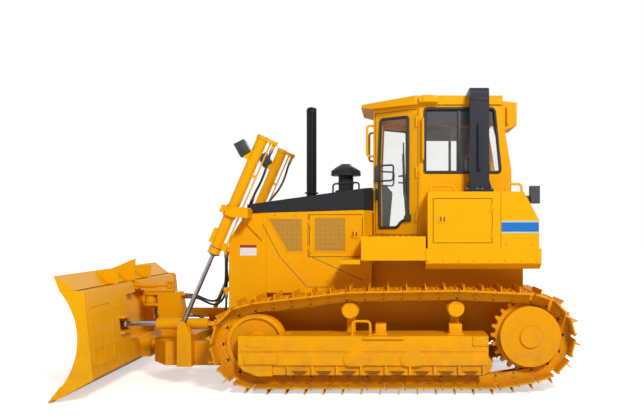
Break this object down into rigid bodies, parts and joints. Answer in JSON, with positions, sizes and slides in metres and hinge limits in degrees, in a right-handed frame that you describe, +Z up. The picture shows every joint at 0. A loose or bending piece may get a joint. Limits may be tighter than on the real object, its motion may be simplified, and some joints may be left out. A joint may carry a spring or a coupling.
{
  "type": "crawler dozer",
  "caption": "Crawler dozer with a six-way blade on an inside push frame, six-sided cab and roll-over arch.",
  "frame": {"origin": "on the ground, midway between the blade's cutting edge and the drawbar's rear end, on the centre plane", "axes": "+X forward towards the blade, +Y to the operator's left, +Z up"},
  "size_m": [5.314, 3.3, 3.165],
  "materials": {
    "paint_yellow": "glossy yellow enamel",
    "paint_black": "satin black enamel",
    "paint_dark": "dark grey enamel",
    "chrome": "hard chrome",
    "steel": "worn bare steel",
    "cast": "cast, painted over",
    "rubber": "moulded rubber",
    "seat_cover": "coated fabric",
    "plastic": "moulded plastic",
    "glass": "tinted safety glass"
  },
  "bodies": {
    "root": {"cab_controls": "plastic", "cab_frame": "paint_yellow", "cab_glass": "glass", "cab_roof": "paint_yellow", "carrier_rollers": "paint_yellow", "cross_shafts": "steel", "engine_block": "cast", "engine_side_panels": "paint_yellow", "exhaust_stack": "paint_black", "fuel_tank": "paint_yellow", "handrails": "paint_yellow", "hood": "paint_black", "hose_lift_left": "rubber", "hose_lift_right": "rubber", "hose_tower_a": "rubber", "hose_tower_b": "rubber", "hose_tower_low": "rubber", "idlers": "paint_yellow", "main_frame": "paint_yellow", "precleaner": "paint_black", "radiator_grille": "paint_dark", "radiator_guard": "paint_yellow", "rear_lamps": "paint_dark", "roof_housing": "paint_yellow", "rops_arch": "paint_dark", "seat": "seat_cover", "side_boxes": "paint_yellow", "sponsons": "paint_yellow", "sprockets": "paint_yellow", "track_frames": "paint_yellow", "track_left": "paint_yellow", "track_right": "paint_yellow", "track_rollers": "paint_yellow"},
    "c_frame": {"c_frame": "paint_yellow"},
    "swivel": {"blade_swivel": "paint_yellow"},
    "blade": {"blade": "paint_yellow", "blade_ends": "paint_yellow", "cutting_edge": "paint_yellow", "spill_guard": "paint_yellow"},
    "pitch_link": {"pitch_link": "paint_yellow"},
    "tilt_barrel": {"tilt_barrel": "paint_yellow"},
    "tilt_rod": {"tilt_rod": "chrome"},
    "lift_barrel_left": {"lift_barrel_left": "paint_yellow"},
    "lift_rod_left": {"lift_rod_left": "chrome"},
    "angle_knuckle_left": {"angle_knuckle_left": "paint_yellow"},
    "angle_barrel_left": {"angle_barrel_left": "paint_yellow"},
    "angle_rod_left": {"angle_rod_left": "chrome"},
    "cab_door_left": {"cab_door_left": "paint_yellow", "door_glass_left": "glass"},
    "engine_door_left": {"engine_door_left": "paint_yellow"},
    "box_door_left": {"box_door_left": "paint_yellow"},
    "lift_barrel_right": {"lift_barrel_right": "paint_yellow"},
    "lift_rod_right": {"lift_rod_right": "chrome"},
    "angle_knuckle_right": {"angle_knuckle_right": "paint_yellow"},
    "angle_barrel_right": {"angle_barrel_right": "paint_yellow"},
    "angle_rod_right": {"angle_rod_right": "chrome"},
    "cab_door_right": {"cab_door_right": "paint_yellow", "door_glass_right": "glass"},
    "engine_door_right": {"engine_door_right": "paint_yellow"},
    "box_door_right": {"box_door_right": "paint_yellow"}
  },
  "joints": [
    {"name": "blade_lift", "type": "hinge", "parent": "root", "child": "c_frame", "pos_m": [-0.35, 0, 0.43], "axis": [0, -1, 0], "range_deg": [-8.6, 20], "deforming": ["hose_tower_a", "hose_tower_b", "hose_tower_low"]},
    {"name": "blade_angle", "type": "hinge", "parent": "c_frame", "child": "swivel", "pos_m": [2.15, 0, 0.33], "axis": [0, 0, 1], "range_deg": [-25, 25]},
    {"name": "blade_tilt", "type": "hinge", "parent": "swivel", "child": "blade", "pos_m": [2.15, 0, 0.33], "axis": [1, 0, 0], "range_deg": [-7, 7]},
    {"name": "pitch_link_yaw", "type": "hinge", "parent": "swivel", "child": "pitch_link", "pos_m": [1.93, 0, 1.03], "axis": [0, 0, 1], "range_deg": [-10.44, 10.44]},
    {"name": "tilt_barrel_pivot", "type": "hinge", "parent": "swivel", "child": "tilt_barrel", "pos_m": [2.15, -0.11, 0.878], "axis": [1, 0, 0], "range_deg": [-8.44, 8.44]},
    {"name": "tilt_rod_slide", "type": "slide", "parent": "tilt_barrel", "child": "tilt_rod", "axis": [0, -1, 0], "range_m": [-0.06936, 0.06936]},
    {"name": "lift_barrel_left_pivot", "type": "hinge", "parent": "root", "child": "lift_barrel_left", "pos_m": [1.065, 0.75, 1.868], "axis": [0, -1, 0], "range_deg": [-3.44, 7.71], "deforming": ["hose_lift_left"]},
    {"name": "lift_rod_left_slide", "type": "slide", "parent": "lift_barrel_left", "child": "lift_rod_left", "axis": [0.3948, 0, -0.9188], "range_m": [-0.67932, 0.30287]},
    {"name": "angle_knuckle_left_yaw", "type": "hinge", "parent": "c_frame", "child": "angle_knuckle_left", "pos_m": [1.235, 0.606, 0.655], "axis": [0, 0, 1], "range_deg": [-1.77, 1.77]},
    {"name": "angle_barrel_left_pivot", "type": "hinge", "parent": "angle_knuckle_left", "child": "angle_barrel_left", "pos_m": [1.235, 0.606, 0.655], "axis": [0, -0.8813, -0.4726], "range_deg": [-4.93, 4.93]},
    {"name": "angle_rod_left_slide", "type": "slide", "parent": "angle_barrel_left", "child": "angle_rod_left", "axis": [1, 0, 0], "range_m": [-0.26637, 0.26637]},
    {"name": "lift_barrel_right_pivot", "type": "hinge", "parent": "root", "child": "lift_barrel_right", "pos_m": [1.065, -0.75, 1.868], "axis": [0, -1, 0], "range_deg": [-3.44, 7.71], "deforming": ["hose_lift_right"]},
    {"name": "lift_rod_right_slide", "type": "slide", "parent": "lift_barrel_right", "child": "lift_rod_right", "axis": [0.3948, 0, -0.9188], "range_m": [-0.67932, 0.30287]},
    {"name": "angle_knuckle_right_yaw", "type": "hinge", "parent": "c_frame", "child": "angle_knuckle_right", "pos_m": [1.235, -0.606, 0.655], "axis": [0, 0, 1], "range_deg": [-1.77, 1.77]},
    {"name": "angle_barrel_right_pivot", "type": "hinge", "parent": "angle_knuckle_right", "child": "angle_barrel_right", "pos_m": [1.235, -0.606, 0.655], "axis": [0, 0.8813, -0.4726], "range_deg": [-4.93, 4.93]},
    {"name": "angle_rod_right_slide", "type": "slide", "parent": "angle_barrel_right", "child": "angle_rod_right", "axis": [1, 0, 0], "range_m": [-0.26637, 0.26637]},
    {"name": "cab_door_left_hinge", "type": "hinge", "parent": "root", "child": "cab_door_left", "pos_m": [-0.92483, 0.78658, 2.3], "axis": [0, 0, 1], "range_deg": [0, 95]},
    {"name": "engine_door_left_hinge", "type": "hinge", "parent": "root", "child": "engine_door_left", "pos_m": [0.243, 0.553, 1.6], "axis": [0, 0, -1], "range_deg": [0, 100]},
    {"name": "box_door_left_hinge", "type": "hinge", "parent": "root", "child": "box_door_left", "pos_m": [-1.688, 1.128, 1.77], "axis": [0, 0, 1], "range_deg": [0, 100]},
    {"name": "cab_door_right_hinge", "type": "hinge", "parent": "root", "child": "cab_door_right", "pos_m": [-0.92483, -0.78658, 2.3], "axis": [0, 0, -1], "range_deg": [0, 95]},
    {"name": "engine_door_right_hinge", "type": "hinge", "parent": "root", "child": "engine_door_right", "pos_m": [0.243, -0.553, 1.6], "axis": [0, 0, 1], "range_deg": [0, 100]},
    {"name": "box_door_right_hinge", "type": "hinge", "parent": "root", "child": "box_door_right", "pos_m": [-1.688, -1.128, 1.77], "axis": [0, 0, -1], "range_deg": [0, 100]}
  ],
  "couplings": [
    {"joint": "pitch_link_yaw", "follows": "blade_tilt", "ratio": -1.434},
    {"joint": "tilt_barrel_pivot", "follows": "blade_tilt", "ratio": 1.16},
    {"joint": "tilt_rod_slide", "follows": "blade_tilt", "m_per_rad": 0.5459},
    {"joint": "lift_barrel_left_pivot", "follows": "blade_lift", "ratio": 0.375},
    {"joint": "lift_rod_left_slide", "follows": "blade_lift", "m_per_rad": -1.892},
    {"joint": "angle_knuckle_left_yaw", "follows": "blade_angle", "ratio": 0.068},
    {"joint": "angle_barrel_left_pivot", "follows": "blade_tilt", "ratio": 0.6775},
    {"joint": "angle_rod_left_slide", "follows": "blade_angle", "m_per_rad": -0.587},
    {"joint": "lift_barrel_right_pivot", "follows": "blade_lift", "ratio": 0.375},
    {"joint": "lift_rod_right_slide", "follows": "blade_lift", "m_per_rad": -1.892},
    {"joint": "angle_knuckle_right_yaw", "follows": "blade_angle", "ratio": 0.068},
    {"joint": "angle_barrel_right_pivot", "follows": "blade_tilt", "ratio": 0.6775},
    {"joint": "angle_rod_right_slide", "follows": "blade_angle", "m_per_rad": 0.587}
  ]
}
